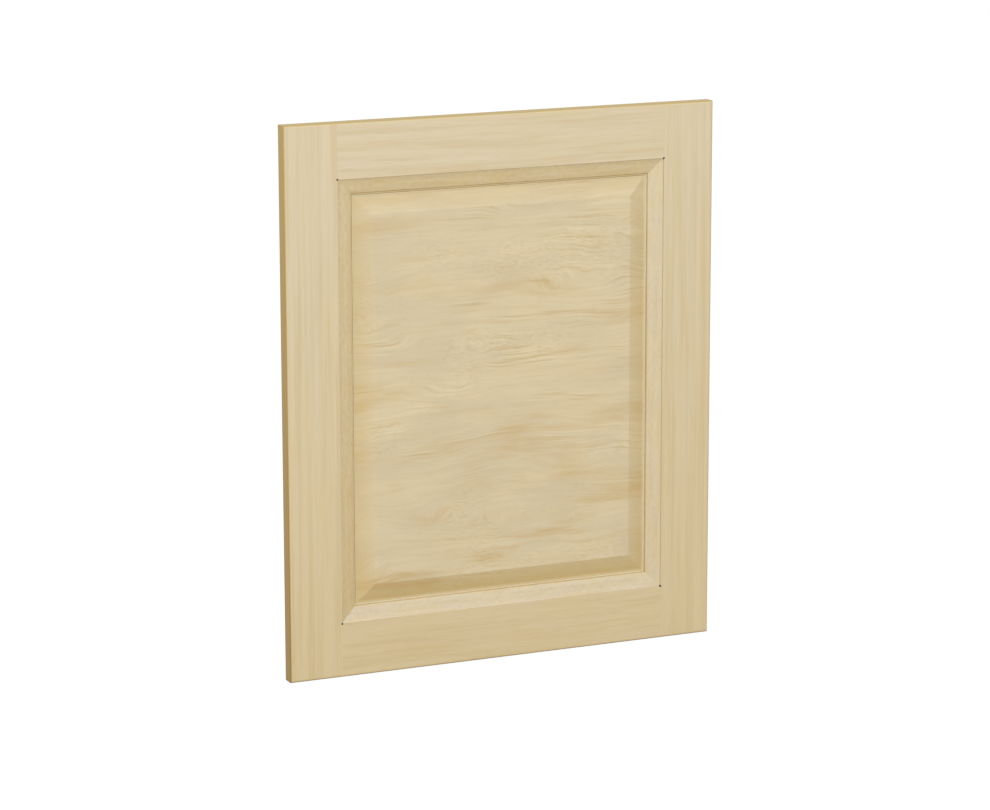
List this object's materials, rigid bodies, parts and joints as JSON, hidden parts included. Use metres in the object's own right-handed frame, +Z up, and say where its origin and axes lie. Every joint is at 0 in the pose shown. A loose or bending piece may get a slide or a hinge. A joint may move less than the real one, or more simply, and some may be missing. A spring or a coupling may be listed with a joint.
{
  "type": "kitchen cabinet door",
  "caption": "Framed kitchen cabinet door with stiles, rails, mitred inner mouldings and a bevelled raised panel, bored at the back for concealed hinge cups.",
  "frame": {"origin": "under the middle of the door's bottom edge, halfway through its thickness", "axes": "+X to the right as seen from the front, +Y from front to back, +Z up along the stiles"},
  "size_m": [0.596, 0.02, 0.716],
  "materials": {
    "stile_wood": "pale satin timber, grain running up",
    "rail_wood": "pale satin timber, grain running across",
    "side_moulding_wood": "pale satin timber, fine mottled figure, grain running up",
    "end_moulding_wood": "pale satin timber, fine mottled figure, grain running across",
    "panel_wood": "pale satin timber with soft waves and flecks, grain running across",
    "dowel_wood": "bare turned timber",
    "spacer_rubber": "matt black rubber"
  },
  "bodies": {
    "root": {"stile_left": "stile_wood", "stile_right": "stile_wood", "rail_top": "rail_wood", "rail_bottom": "rail_wood", "moulding_left": "side_moulding_wood", "moulding_right": "side_moulding_wood", "moulding_top": "end_moulding_wood", "moulding_bottom": "end_moulding_wood", "panel": "panel_wood", "dowels": "dowel_wood", "panel_spacers": "spacer_rubber"}
  },
  "joints": []
}
